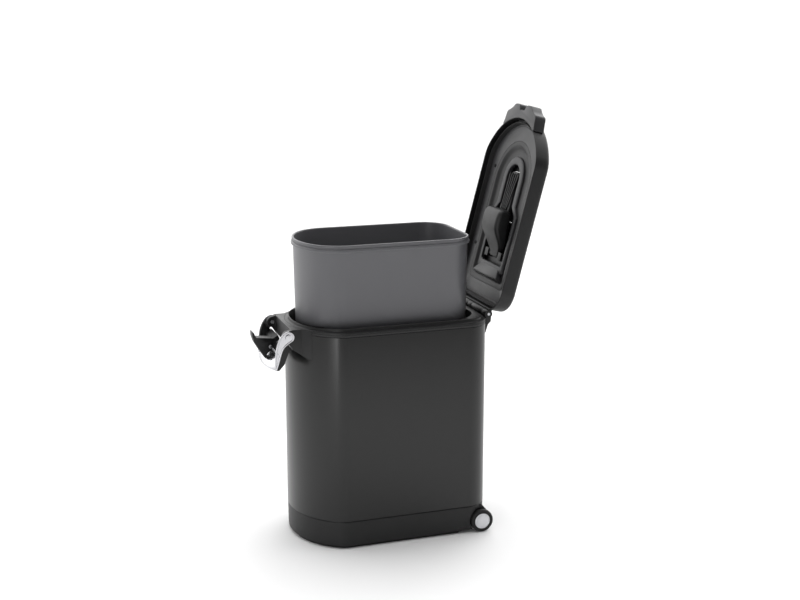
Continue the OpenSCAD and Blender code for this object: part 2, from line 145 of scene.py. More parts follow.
def bucket_outline(inset):
    """The bucket rim's outline moved in by inset."""
    front = front_gap - body_half_d
    return d_outline(body_hw - side_gap - inset, front + inset, front + nose_d - rim_nose_less,
                     side_r + rim_side_more - inset, body_half_d - rear_gap - inset,
                     rear_r + rim_rear_more - inset)


def ahead(distance):
    """The place in Y that is this far ahead of the lid's back edge."""
    return body_half_d - distance


def arch_outline(hw, near, far, corner, wide=None):
    """An outline with a round front end and a straight back, wider at its back if wide is given."""
    wide = wide or hw
    points = arc(wide - corner, ahead(near) - corner, corner, 0, pi / 2)
    points += arc(corner - wide, ahead(near) - corner, corner, pi / 2, pi)
    points += [(-wide, ahead(waist_near)), (-hw, ahead(waist_far))]
    points += arc(0, ahead(far) + hw, hw, pi, 2 * pi, 4 * ARC_POINTS)
    points += [(hw, ahead(waist_far)), (wide, ahead(waist_near))]
    return points


def at(points, z):
    """An outline at a height."""
    return [(x, y, z) for x, y in points]


# ---------------------------------------------------------------- meshes

SHARP_DEG = 32  # an edge that turns by more than this stays sharp
WELD = 1e-6  # points closer than this, in metres, become one


def link(mesh, name):
    """Puts a mesh in the scene as a piece."""
    piece = bpy.data.objects.new(name, mesh)
    bpy.context.scene.collection.objects.link(piece)
    return piece


def smooth(mesh, angle=SHARP_DEG):
    """Shades a mesh smooth, apart from its sharp edges."""
    mesh.shade_smooth()
    mesh.set_sharp_from_angle(angle=radians(angle))


def mesh_of(name, points, faces, angle=SHARP_DEG):
    """A mesh object from points in mm, with its faces turned outwards."""
    mesh = bpy.data.meshes.new(name)
    mesh.from_pydata([Vector(p) * MM for p in points], [], faces)
    work = bmesh.new()
    work.from_mesh(mesh)
    bmesh.ops.remove_doubles(work, verts=work.verts, dist=WELD)
    bmesh.ops.recalc_face_normals(work, faces=work.faces)
    work.to_mesh(mesh)
    work.free()
    smooth(mesh, angle)
    return link(mesh, name)


def loft(name, rings, ring_loop=False, caps=False, angle=SHARP_DEG):
    """Skins rings of equal count; ring_loop joins the last ring to the first."""
    count = len(rings[0])
    points = [p for ring in rings for p in ring]
    faces = []
    for r in range(len(rings) if ring_loop else len(rings) - 1):
        a, b = r * count, (r + 1) % len(rings) * count
        for i in range(count):
            j = (i + 1) % count
            faces.append((a + i, a + j, b + j, b + i))
    if caps:
        faces.append(tuple(range(count)))
        faces.append(tuple(range(len(points) - count, len(points))))
    return mesh_of(name, points, faces, angle)


def baked(piece):
    """Applies a piece's modifiers to a plain mesh."""
    depsgraph = bpy.context.evaluated_depsgraph_get()
    mesh = bpy.data.meshes.new_from_object(piece.evaluated_get(depsgraph))
    name = piece.name
    materials = list(piece.data.materials)
    bpy.data.objects.remove(piece)
    result = link(mesh, name)
    for material in materials:
        if material and material.name not in [m.name for m in mesh.materials if m]:
            mesh.materials.append(material)
    return result


def softened(piece, radius, segments=3, angle=SHARP_DEG, smooth_angle=40):
    """Rounds a piece's edges to a radius in mm."""
    bevel = piece.modifiers.new("edges", "BEVEL")
    bevel.width = radius * MM
    bevel.segments = segments
    bevel.limit_method = "ANGLE"
    bevel.angle_limit = radians(angle)
    bevel.use_clamp_overlap = True
    result = baked(piece)
    smooth(result.data, smooth_angle)
    return result


def copy_of(node, name):
    """A merged copy of a CAD node's mesh."""
    mesh = frame["nodes"][node].data.copy()
    mesh.materials.clear()
    work = bmesh.new()
    work.from_mesh(mesh)
    bmesh.ops.remove_doubles(work, verts=work.verts, dist=2 * WELD)
    bmesh.ops.dissolve_limit(work, angle_limit=radians(1.5), verts=work.verts, edges=work.edges)
    work.to_mesh(mesh)
    work.free()
    return link(mesh, name)


def cut(piece, cutter):
    """Takes the cutter's shape out of a piece."""
    knife = piece.modifiers.new("cut", "BOOLEAN")
    knife.operation = "DIFFERENCE"
    knife.solver = "EXACT"
    knife.object = cutter
    result = baked(piece)
    bpy.data.objects.remove(cutter)
    smooth(result.data)
    return result


def ring_x(x, axis_y, axis_z, r):
    """Points of a circle about a line along X, in mm."""
    turns = (2 * pi * i / ROUND_POINTS for i in range(ROUND_POINTS))
    return [(x, axis_y + r * cos(a), axis_z + r * sin(a)) for a in turns]


def cylinder(name, start, end, axis_y, axis_z, r):
    """A closed round bar along X, in mm."""
    return loft(name, [ring_x(x, axis_y, axis_z, r) for x in (start, end)], caps=True)


def turned(name, profile, side):
    """Turns a closed profile of (radius, distance outwards) about the axle of one side's wheel."""
    x0 = side * wheel_low.x
    rings = [ring_x(x0 + side * d, axle_y, axle_z, r) for r, d in profile]
    return loft(name, rings, ring_loop=True)


def prism(name, outline, z0, z1):
    """A closed prism between two heights."""
    return loft(name, [at(outline, z0), at(outline, z1)], caps=True)


def open_lid(piece):
    """Swings a piece drawn on the closed lid to the lid's stored pose."""
    pin = hinge * MM
    turn = (Matrix.Translation(pin) @ Matrix.Rotation(-lid_open, 4, "X")
            @ Matrix.Translation(-pin))
    piece.data.transform(turn)
    piece.data.update()
    return piece


def up(height):
    """The place in Z that is this far over the closed lid's rim."""
    return rim_z + height


# ---------------------------------------------------------------- materials

# A Mix node has sockets of one name for each kind of value, so a colour mix finds its own by place
MIX_FACTOR, MIX_COLOUR_A, MIX_COLOUR_B, MIX_COLOUR_OUT = 0, 6, 7, 2


def linear(hex_colour):
    """An sRGB hex colour as linear red, green, blue and alpha."""
    parts = [int(hex_colour[i:i + 2], 16) / 255 for i in (1, 3, 5)]
    return tuple(c / 12.92 if c <= 0.04045 else ((c + 0.055) / 1.055) ** 2.4 for c in parts) + (1,)


def add(tree, kind, settings=None, links=None):
    """Adds a node with its settings and its input links."""
    node = tree.nodes.new(kind)
    for key, value in (settings or {}).items():
        if key.startswith("in:"):
            node.inputs[key[3:]].default_value = value
        else:
            setattr(node, key, value)
    for socket, source in (links or {}).items():
        tree.links.new(source, node.inputs[socket])
    return node


def finish(name, colour, roughness, metallic=0.0, ior=1.46, coat=0.0, coat_roughness=0.1,
           grain=0.6, grain_depth=0.02, blotch=30.0, blotch_tone=0.12, roughness_spread=0.06):
    """A surface with fine grain in its relief and soft blotches in its tone and gloss."""
    material = bpy.data.materials.new(name)
    material.use_nodes = True
    tree = material.node_tree
    shader = tree.nodes["Principled BSDF"]
    shader.inputs["Metallic"].default_value = metallic
    if metallic < 0.5:
        shader.inputs["IOR"].default_value = ior
    shader.inputs["Coat Weight"].default_value = coat
    shader.inputs["Coat Roughness"].default_value = coat_roughness
    place = add(tree, "ShaderNodeTexCoord")
    patches = add(tree, "ShaderNodeTexNoise",
                  {"in:Scale": 1 / (blotch * MM), "in:Detail": 4.0, "in:Roughness": 0.55},
                  {"Vector": place.outputs["Object"]})
    tone = add(tree, "ShaderNodeMix", {"data_type": "RGBA", "blend_type": "MIX"})
    dark = tuple(c * (1 - blotch_tone) for c in linear(colour)[:3]) + (1,)
    light = tuple(min(1, c * (1 + blotch_tone)) for c in linear(colour)[:3]) + (1,)
    tone.inputs[MIX_COLOUR_A].default_value = dark
    tone.inputs[MIX_COLOUR_B].default_value = light
    tree.links.new(patches.outputs["Fac"], tone.inputs[MIX_FACTOR])
    tree.links.new(tone.outputs[MIX_COLOUR_OUT], shader.inputs["Base Color"])
    gloss = add(tree, "ShaderNodeMapRange",
                {"in:To Min": roughness - roughness_spread,
                 "in:To Max": roughness + roughness_spread},
                {"Value": patches.outputs["Fac"]})
    tree.links.new(gloss.outputs["Result"], shader.inputs["Roughness"])
    texture = add(tree, "ShaderNodeTexNoise",
                  {"in:Scale": 1 / (grain * MM), "in:Detail": 2.0, "in:Roughness": 0.5},
                  {"Vector": place.outputs["Object"]})
    relief = add(tree, "ShaderNodeBump", {"in:Strength": 0.35, "in:Distance": grain_depth * MM},
                 {"Height": texture.outputs["Fac"]})
    tree.links.new(relief.outputs["Normal"], shader.inputs["Normal"])
    return material


def brushed(name, colour, roughness, stretch):
    """Metal with fine lines along one axis."""
    material = finish(name, colour, roughness, metallic=1.0, grain=2.0, blotch=12, blotch_tone=0.05,
                      roughness_spread=0.05)
    tree = material.node_tree
    place = next(n for n in tree.nodes if n.bl_idname == "ShaderNodeTexCoord")
    stretched = add(tree, "ShaderNodeMapping", {"in:Scale": stretch},
                    {"Vector": place.outputs["Object"]})
    bump = next(n for n in tree.nodes if n.bl_idname == "ShaderNodeBump")
    source = bump.inputs["Height"].links[0].from_node
    tree.links.new(stretched.outputs["Vector"], source.inputs["Vector"])
    return material


# Powder-coated steel sheet: a satin black film that gives broad soft highlights
powder_black = finish("powder_coated_steel", "#060606", 0.3, ior=1.5, grain=0.7, grain_depth=0.012,
                      blotch=60, blotch_tone=0.05, roughness_spread=0.02)
# Spark-textured ABS moulding: matte black with a fine even grain
abs_black = finish("spark_textured_abs", "#080809", 0.48, grain=0.5, grain_depth=0.03, blotch=25,
                   blotch_tone=0.08)
# Smooth ABS moulding in charcoal, lit softly by its satin skin
abs_charcoal = finish("satin_charcoal_abs", "#232325", 0.44, grain=0.6, grain_depth=0.02, blotch=30,
                      blotch_tone=0.07)
# The lid's panel dish, the press thumb, rod and ribs: the same plastic as the charcoal parts with a coarser
# texture. Their darker colour is painted shade for the recessed dish and for the thumb's faces turned from the
# light
charcoal_abs_painted_shade = finish("textured_charcoal_abs_painted_shade", "#131314", 0.5, grain=0.9, grain_depth=0.04, blotch=30,
                  blotch_tone=0.07)
# Polypropylene bucket moulding: graphite grey with a waxy satin
graphite = finish("graphite_polypropylene", "#5a5a5d", 0.4, ior=1.49, grain=0.8, grain_depth=0.015,
                  blotch=50, blotch_tone=0.04, roughness_spread=0.03)
# Nitrile rubber: near black and dull
rubber = finish("nitrile_rubber", "#060606", 0.7, ior=1.52, grain=0.4, grain_depth=0.04, blotch=15)
# Satin stainless steel of the handle, with fine lines along its length
stainless = brushed("satin_stainless_steel", "#c4c4c7", 0.22, (1.0, 6.0, 0.6))
# Zinc-plated steel of pins, screws and axle
zinc = finish("zinc_plated_steel", "#b9babd", 0.3, metallic=1.0, grain=0.5, blotch=4,
              blotch_tone=0.08)
# Blackened steel of the lid's pin, spring and screws, oiled and dull
blackened = finish("blackened_steel", "#1a1a1b", 0.45, metallic=1.0, grain=0.5, blotch=5,
                   blotch_tone=0.1)
# Light grey nylon of the wheel discs
nylon = finish("light_grey_nylon", "#e2e3e6", 0.36, ior=1.53, grain=0.7, grain_depth=0.01,
               blotch=20, blotch_tone=0.04)

FINISHES = {
    "black_steel": powder_black, "matte_black_plastic": abs_black, "grey_plastic": abs_charcoal,
    "graphite_plastic": graphite, "black_rubber": rubber, "satin_steel": stainless, "steel": zinc,
    "light_plastic": nylon,
}


def show(piece, node, material=None):
    """Gives a new piece its finish, and puts it on the body of the CAD node it stands for."""
    slot = SLOT_OF[node]
    piece.data.materials.clear()
    piece.data.materials.append(material or FINISHES[slot])
    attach(piece, BODY_OF[node])
    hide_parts(node)
    return piece


def extra(piece, body, slot, material=None):
    """Gives a detail piece its finish and its body."""
    piece.data.materials.clear()
    piece.data.materials.append(material or FINISHES[slot])
    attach(piece, body)
    return piece


# ---------------------------------------------------------------- body pieces

def outer_shell():
    """The sheet-steel sleeve, with rolled edges at its foot and head."""
    sheet = 1.5
    low, high = base_top + seam, shell_top - seam
    profile = [(0.7, low), (0.15, low + 0.25), (0, low + 0.9), (0, high - 0.9), (0.15, high - 0.25),
               (0.7, high), (sheet, high), (sheet, low)]
    rings = [at(body_outline(inset), z) for inset, z in profile]
    show(loft("shell_sheet", rings, ring_loop=True), "outer_shell")


def base_moulding():
    """The foot of the body, with a round bay cut for each wheel."""
    low, high = base_low.z, base_top
    profile = [(3.2, low), (1.9, low + 0.6), (1.2, low + 2.4), (1.0, low + 5), (0.4, high - 4.2),
               (0.5, high - 2.6), (1.4, high - 1.4), (1.8, high - 0.1), (4, high - 0.1), (4, low)]
    rings = [at(body_outline(inset), z) for inset, z in profile]
    piece = loft("base_shell", rings, ring_loop=True)
    bay_gap, bay_depth, overrun = 2.4, 15, 20
    inner, outer = wheel_low.x - bay_depth, body_hw + overrun
    for name, x0, x1 in (("bay_right", inner, outer), ("bay_left", -outer, -inner)):
        piece = cut(piece, cylinder(name, x0, x1, axle_y, axle_z, wheel_r + bay_gap))
    show(piece, "base_moulding")


def collar_ring():
    """Outer ledge, stepped lip and the deep throat that the bucket slides in."""
    throat = -6.0  # measured in from the bucket's rim, so the throat lies outside it
    skirt = collar_low.z
    rings = [
        at(body_outline(1.2), shell_top), at(body_outline(0.3), shell_top + 0.2),
        at(body_outline(0), shell_top + 0.9), at(body_outline(0), shell_top + 4.6),
        at(body_outline(0.5), shell_top + 4.9), at(body_outline(0.5), shell_top + 5.5),
        at(body_outline(0), shell_top + 5.8), at(body_outline(0), ledge_z - 1.6),
        at(body_outline(0.5), ledge_z - 0.5), at(body_outline(1.6), ledge_z),
        at(body_outline(7.0), ledge_z), at(body_outline(7.8), ledge_z + 0.4),
        at(body_outline(8.2), ledge_z + 1.4), at(body_outline(8.6), lip_z - 1.4),
        at(body_outline(9.1), lip_z - 0.4), at(body_outline(10), lip_z),
        at(bucket_outline(throat - 1.8), lip_z), at(bucket_outline(throat - 0.6), lip_z - 0.5),
        at(bucket_outline(throat), lip_z - 1.8), at(bucket_outline(throat), skirt),
        at(bucket_outline(throat - 3), skirt), at(bucket_outline(throat - 3), shell_top - 2),
        at(body_outline(2.2), shell_top - 2), at(body_outline(2.2), shell_top)]
    show(loft("collar_moulding", rings, ring_loop=True, angle=40), "collar_ring")


def refined(node, name, radius):
    """Stands a copy of a CAD node with its edges rounded in for that node."""
    return show(softened(copy_of(node, name), radius), node)


# ---------------------------------------------------------------- bucket

def bucket():
    """A tapering bucket with a rounded floor and a double bead round its rim."""
    wall, taper, corner, thin = 4.5, 6.0, 9.0, 2.2
    corner_steps = 6
    low, high = bucket_low.z, bucket_high.z

    def lean(z):
        """How far the outside is set in from the rim's outline at a height."""
        return wall + taper * (bead_z - z) / (bead_z - low)

    rings = []
    for i in range(corner_steps + 1):
        a = pi / 2 * i / corner_steps
        inset = lean(low) + corner * (1 - sin(a))
        rings.append(at(bucket_outline(inset), low + corner * (1 - cos(a))))
    rim = [(lean(bead_z - 1), bead_z - 1.0), (wall - 0.6, bead_z - 0.1), (1.6, bead_z),
           (0.5, bead_z + 0.5), (0, bead_z + 1.8), (0.1, bead_z + 4.2), (0.9, bead_z + 5.6),
           (2.2, bead_z + 6.2), (3.4, bead_z + 6.7), (3.6, bead_z + 7.6), (3.2, bead_z + 8.6),
           (2.3, high - 5.2), (2.0, high - 3.6), (2.1, high - 1.5), (2.8, high - 0.4),
           (4.2, high), (5.6, high - 0.4), (6.4, high - 1.6), (wall + thin, high - 4)]
    rings += [at(bucket_outline(inset), z) for inset, z in rim]
    floor = low + thin
    for i in range(corner_steps + 1):
        a = pi / 2 * (1 - i / corner_steps)
        z = floor + (corner - thin) * (1 - cos(a))
        inset = lean(low) + thin + (corner - thin) * (1 - sin(a))
        rings.append(at(bucket_outline(inset), z))
    show(loft("bucket_moulding", rings, caps=True, angle=38), "bucket")


# ---------------------------------------------------------------- lid

def nose_points():
    """The nose's plan: a broad shoulder, two ears and the hook's notch between them."""
    right = [(11, 434), (12.5, 439), (17, 445.5), (24, 447), (36, 447), (43, 445.5), (52, 438),
             (63, 432.5), (73, 429), (77, 424), (79, 412), (84, 396)]
    left = [(-x, v) for x, v in reversed(right)]
    return [(x, ahead(v)) for x, v in left + right]


def lid_cover():
    """The lid's outer moulding with the hole for its grip plate, and the nose in front."""
    skin = 2.5
    outside = [(0.9, 0.0), (0.2, 0.5), (0, 1.6), (0, 24.0), (0.3, 27.5), (1.3, 30.5), (3.2, 32.9),
               (6.2, 34.4), (11, 34.95), (22, lid_h)]
    inside = [(22, lid_h - skin), (8.5, lid_h - skin), (6.8, lid_h - 4), (5.6, 22.4), (4.6, 22.0),
              (2.9, 22.0), (skin, 21.6), (skin, 1.0), (1.7, 0.1)]
    rings = [at(body_outline(inset), up(d)) for inset, d in inside + outside]
    piece = loft("lid_cover_moulding", rings, caps=True)
    grip_hw, low, high = 26.5, ahead(301), ahead(190)
    hole = [(-grip_hw, low), (grip_hw, low), (grip_hw, high), (-grip_hw, high)]
    piece = cut(piece, prism("grip_hole", hole, lid_top - 8, lid_top + 12))
    show(open_lid(piece), "lid_cover")
    nose = softened(prism("lid_nose", nose_points(), up(0.4), up(26)), 2.2, 4)
    nose = cut(nose, prism("nose_cut", body_outline(1.2), up(-9), up(60)))
    extra(open_lid(nose), "lid", "grey_plastic")


def panel_outline(inset, d):
    """The opening in the lid's frame moved in by inset, at a depth in the lid."""
    return at(arch_outline(panel_hw - inset, panel_near + inset, panel_far - inset, panel_r), up(d))


def lid_frame():
    """The flat inner frame with a shallow channel round it for the seal."""
    top, low = 20.5, 18.0
    outline = [(2.9, top), (2.9, low + 0.6), (3.4, low), (15.5, low), (16.3, low + 0.8),
               (17.6, low + 0.8), (18.4, low)]
    rings = [at(body_outline(inset), up(d)) for inset, d in outline]
    rings += [panel_outline(-0.6, low), panel_outline(0, low + 0.5), panel_outline(0, top)]
    show(open_lid(loft("lid_frame_plate", rings, ring_loop=True)), "lid_frame")


def lid_seal():
    """A soft lip that meets the collar, round the inside of the lid."""
    lip = [(9.4, 17.9), (9.0, 12), (9.6, 8.6), (10.6, 8.0), (11.6, 8.6), (12.2, 11.5),
           (13.4, 14.5), (14.0, 17.9)]
    rings = [at(body_outline(inset), up(d)) for inset, d in lip]
    show(open_lid(loft("lid_seal_lip", rings, ring_loop=True)), "lid_seal")


def keyhole(grow, d):
    """The slot's outline moved out by grow, at a depth in the lid."""
    return at(arch_outline(keyhole_hw + grow, keyhole_near - grow, keyhole_far + grow, keyhole_r,
                           keyhole_back_hw + 0.7 * grow), up(d))


def lid_panel():
    """The dished panel with the slot that the press arm swings through."""
    def panel(inset, d):
        return panel_outline(panel_gap + inset, d)

    rings = [panel(0, 20.4), panel(0, 18.6), panel(0.5, 18.1), panel(9, 18.0), panel(10.5, 18.5),
             panel(14, 21.5), panel(17, 23.4), panel(20, 24.2), keyhole(20, 24.4),
             keyhole(0.4, 24.4), keyhole(0.4, 27), keyhole(6, 27), panel(20, 26.8),
             panel(12, 24.5), panel(6, 20.6)]
    piece = loft("lid_panel_dish", rings, ring_loop=True)
    # The panel dish gets the charcoal plastic darkened as painted shade of its recess
    show(open_lid(piece), "lid_panel", charcoal_abs_painted_shade)
    ramp = [(ramp_near, 18.2), (63.5, 11.6), (65, 11), (67, 11.2), (ramp_far, 21.5),
            (ramp_far, 25), (ramp_near, 25)]
    wedge = mesh_of("panel_wedge", *wedge_points([(ahead(v), up(d)) for v, d in ramp]))
    extra(open_lid(softened(wedge, 1.2, 3)), "lid", "grey_plastic")


def wedge_points(ramp):
    """A ramp that is broad where it is shallow and narrow where it is deep."""
    narrow_hw, spread = 42, 29

    def half(y):
        share = (y - ahead(ramp_far)) / (ahead(ramp_near) - ahead(ramp_far))
        return narrow_hw + spread * min(1, max(0, share))

    left = [(-half(y), y, z) for y, z in ramp]
    right = [(half(y), y, z) for y, z in ramp]
    n = len(ramp)
    faces = [tuple(range(n)), tuple(range(2 * n - 1, n - 1, -1))]
    faces += [(i, (i + 1) % n, n + (i + 1) % n, n + i) for i in range(n)]
    return left + right, faces


def keyhole_ring():
    """The raised rim round the slot."""
    section = [(17.6, 24.3), (17.4, 21.4), (16.2, 19.9), (14.2, 19.3), (3.4, 19.0), (1.4, 19.4),
               (0.3, 20.6), (0.3, 26.8), (2.6, 26.8), (2.6, 24.3)]
    rings = [keyhole(grow, d) for grow, d in section]
    show(open_lid(loft("keyhole_rim", rings, ring_loop=True)), "keyhole_ring")


# ---------------------------------------------------------------- press arm

def press_arm():
    """A thumb pad that curves down to the pin, with a tapered rod behind it."""
    # Distance from the lid's back edge, depths of front and back, half width and corner radius
    stations = [(213.5, 0, 16, 34, 7), (212.4, -3.2, 19, 37.5, 8), (209, -6.6, 22, 40.4, 9),
                (204, -8.9, 23.5, 41.6, 10), (196, -10.2, 24, 42, 10), (186, -10.6, 24.5, 42, 10),
                (176, -10.1, 25, 42, 10), (168, -8.3, 25.5, 42, 9.5), (160, -4.6, 26, 41.6, 9),
                (152, 0.4, 27, 40.4, 8), (144, 6, 28, 38.4, 7), (136, 11.4, 29, 35.5, 6.5),
                (128, 16, 30, 31, 5.5), (120, 19.2, 30.6, 25.5, 4.5), (112, 20.2, 30, 20, 4),
                (107, 21.5, 28.5, 19, 3)]
    rings = [[(x, ahead(v), up(z)) for x, z in rounded_box(hw, front, back, r)]
             for v, front, back, hw, r in stations]
    piece = loft("press_thumb", rings, caps=True, angle=50)
    # The thumb gets the charcoal plastic darkened as painted shade
    show(open_lid(softened(piece, 1.2, 2, 50, 50)), "press_arm", charcoal_abs_painted_shade)
    points = []
    for v, hw, front, back in ROD_ENDS:
        y = ahead(v)
        points += [(-hw, y, up(front)), (hw, y, up(front)), (hw, y, up(back)), (-hw, y, up(back))]
    faces = [(0, 1, 2, 3), (4, 5, 6, 7)] + [(k, (k + 1) % 4, 4 + (k + 1) % 4, 4 + k)
                                            for k in range(4)]
    rod = softened(mesh_of("press_rod", points, faces), 1.4, 3)
    # The rod and its ribs get the same darkened plastic with painted shade
    extra(open_lid(rod), "press_arm", "grey_plastic", charcoal_abs_painted_shade)
    extra(open_lid(rod_ribs()), "press_arm", "grey_plastic", charcoal_abs_painted_shade)


def rounded_box(hw, front, back, r):
    """Points round a box section with round corners."""
    count = 8
    points = []
    for cx, cz, a in ((hw - r, back - r, 0), (r - hw, back - r, 1), (r - hw, front + r, 2),
                      (hw - r, front + r, 3)):
        points += [(cx + r * cos(pi / 2 * (a + i / count)), cz + r * sin(pi / 2 * (a + i / count)))
                   for i in range(count + 1)]
    return points


def new_tree(name, inputs):
    """An empty Geometry Nodes tree with named number inputs and a geometry output."""
    tree = bpy.data.node_groups.new(name, "GeometryNodeTree")
    tree.interface.new_socket("Geometry", in_out="INPUT", socket_type="NodeSocketGeometry")
    for label, value in inputs.items():
        kind = "NodeSocketInt" if isinstance(value, int) else "NodeSocketFloat"
        socket = tree.interface.new_socket(label, in_out="INPUT", socket_type=kind)
        socket.default_value = value
    tree.interface.new_socket("Geometry", in_out="OUTPUT", socket_type="NodeSocketGeometry")
    return tree, tree.nodes.new("NodeGroupInput"), tree.nodes.new("NodeGroupOutput")


def grown(name, tree, values):
    """Runs a tree on an empty mesh and returns the plain mesh that it makes."""
    piece = link(bpy.data.meshes.new(name), name)
    modifier = piece.modifiers.new("grow", "NODES")
    modifier.node_group = tree
    for item in tree.interface.items_tree:
        if item.item_type == "SOCKET" and item.in_out == "INPUT" and item.name in values:
            modifier[item.identifier] = values[item.name]
    return baked(piece)


def rod_ribs():
    """Ribs fanned out along the rod, one turned bar for each point of a short arc."""
    count, pitch_mm = 5, 8.4
    tree, ins, outs = new_tree("rod_ribs", {"Count": count, "Fan": radians(3.0),
                                            "Pitch": pitch_mm * MM, "Length": 88 * MM,
                                            "Width": 3.6 * MM, "Height": 3.4 * MM})
    line = add(tree, "GeometryNodeMeshLine")
    pitch = add(tree, "ShaderNodeCombineXYZ", {}, {"X": ins.outputs["Pitch"]})
    tree.links.new(ins.outputs["Count"], line.inputs["Count"])
    tree.links.new(pitch.outputs["Vector"], line.inputs["Offset"])
    size = add(tree, "ShaderNodeCombineXYZ", {}, {"X": ins.outputs["Width"],
                                                  "Y": ins.outputs["Length"],
                                                  "Z": ins.outputs["Height"]})
    bar = add(tree, "GeometryNodeMeshCube", {}, {"Size": size.outputs["Vector"]})
    index = add(tree, "GeometryNodeInputIndex")
    middle = add(tree, "ShaderNodeMath", {"operation": "SUBTRACT"}, {0: index.outputs["Index"]})
    middle.inputs[1].default_value = (count - 1) / 2
    turn = add(tree, "ShaderNodeMath", {"operation": "MULTIPLY"},
               {0: middle.outputs["Value"], 1: ins.outputs["Fan"]})
    angles = add(tree, "ShaderNodeCombineXYZ", {}, {"Z": turn.outputs["Value"]})
    copies = add(tree, "GeometryNodeInstanceOnPoints", {},
                 {"Points": line.outputs["Mesh"], "Instance": bar.outputs["Mesh"],
                  "Rotation": angles.outputs["Vector"]})
    real = add(tree, "GeometryNodeRealizeInstances", {}, {"Geometry": copies.outputs["Instances"]})
    # The ribs get the charcoal plastic darkened as painted shade
    paint = add(tree, "GeometryNodeSetMaterial", {"in:Material": charcoal_abs_painted_shade},
                {"Geometry": real.outputs["Geometry"]})
    tree.links.new(paint.outputs["Geometry"], outs.inputs["Geometry"])
    piece = grown("press_rod_ribs", tree, {})
    (near, _, front_near, _), (far, _, front_far, _) = ROD_ENDS
    slope = atan2(front_far - front_near, far - near)
    first = Vector((-pitch_mm * (count - 1) / 2, ahead(253), up(19.6)))
    piece.data.transform(Matrix.Translation(first * MM)
                         @ Matrix.Rotation(-slope, 4, "X"))
    return softened(piece, 1.1, 3)


# ---------------------------------------------------------------- handle

PIVOT = joint["handle_pivot"]["pos_m"]


def along(y, z):
    """A point of the handle from its pivots, in mm."""
    return PIVOT[1] / MM + y, PIVOT[2] / MM + z


def curve_through(points, steps=6):
    """A smooth line through points."""
    result = []
    for i in range(len(points) - 1):
        p0, p1 = points[max(0, i - 1)], points[i]
        p2, p3 = points[i + 1], points[min(len(points) - 1, i + 2)]
        for k in range(steps):
            t = k / steps
            result.append(tuple(0.5 * (2 * b + (c - a) * t + (2 * a - 5 * b + 4 * c - d) * t * t
                                       + (3 * b - a - 3 * c + d) * t ** 3)
                                for a, b, c, d in zip(p0, p1, p2, p3)))
    return result + [points[-1]]


def inset_outline(points, distance):
    """Moves each point of an anticlockwise outline inwards."""
    result = []
    for i, p in enumerate(points):
        a, b = Vector(points[i - 1]), Vector(points[(i + 1) % len(points)])
        run = (b - a).normalized()
        result.append((p[0] - run.y * distance, p[1] + run.x * distance))
    return result


def flange_outline():
    """One arm of the handle from the side: a round boss at the pivot, and a swept blade."""
    boss = [(12.6 * cos(a), 12.6 * sin(a)) for a in (radians(t) for t in range(-38, 112, 6))]
    front = curve_through([(-4.6, 11.7), (-11.5, 7.6), (-17, 1.5), (-22, -8), (-26, -19.5),
                           (-29.5, -42), (-30.5, -62), (-30.3, -66.5), (-29, -69.4), (-27.4, -70)])
    back = curve_through([(-26, -69.2), (-23, -60), (-19.2, -47.7), (-15.6, -35), (-10.6, -23.5),
                          (-2, -15.4), (9.9, -7.8)])
    return boss + front[1:] + back[:-1]


def handle_sheet():
    """The bent steel sheet: an arm on each side and the bowed web between their ends."""
    outer = stud_high.x - 0.5
    hole_reach, web_steps = 6, 40
    web_back, web_head, share_of_front = -21.8, -46, 0.66
    outline = flange_outline()
    for side, label in ((1, "right"), (-1, "left")):
        section = [(0.3, outer - 2.5), (0, outer - 2.2), (0, outer - 0.9), (0.25, outer - 0.3),
                   (0.9, outer), (2.2, outer), (2.8, outer - 0.25), (3.2, outer - 0.8)]
        rings = [[(side * x, *along(y, z)) for y, z in inset_outline(outline, inset)]
                 for inset, x in section]
        flange = loft(f"handle_flange_{label}", rings, caps=True, angle=50)
        hole = cylinder("stud_hole", side * (outer - hole_reach), side * (outer + hole_reach),
                        *along(0, 0), axle_hole_r)
        extra(cut(flange, hole), "handle", "satin_steel")
    web = []
    for i in range(web_steps + 1):
        share = 2 * i / web_steps - 1
        bow = 1 - share * share
        front_low, z = -28.5 - 11 * bow, -69.5 - 3.5 * bow
        section = [(web_back, web_head), (web_back + 1.2, web_head + 0.4),
                   (web_back + 2.4, web_head)]
        section += [(front_low + 2.4, z + 0.4), (front_low + 1.2, z - 0.2), (front_low, z + 0.4)]
        section += [(front_low * share_of_front + web_back * (1 - share_of_front) - 0.8 * bow,
                     z * share_of_front + web_head * (1 - share_of_front))]
        web.append([(share * (outer - 1), *along(y, h)) for y, h in section])
    show(softened(loft("handle_web", web, caps=True, angle=50), 0.5, 2, 50), "handle_channel")


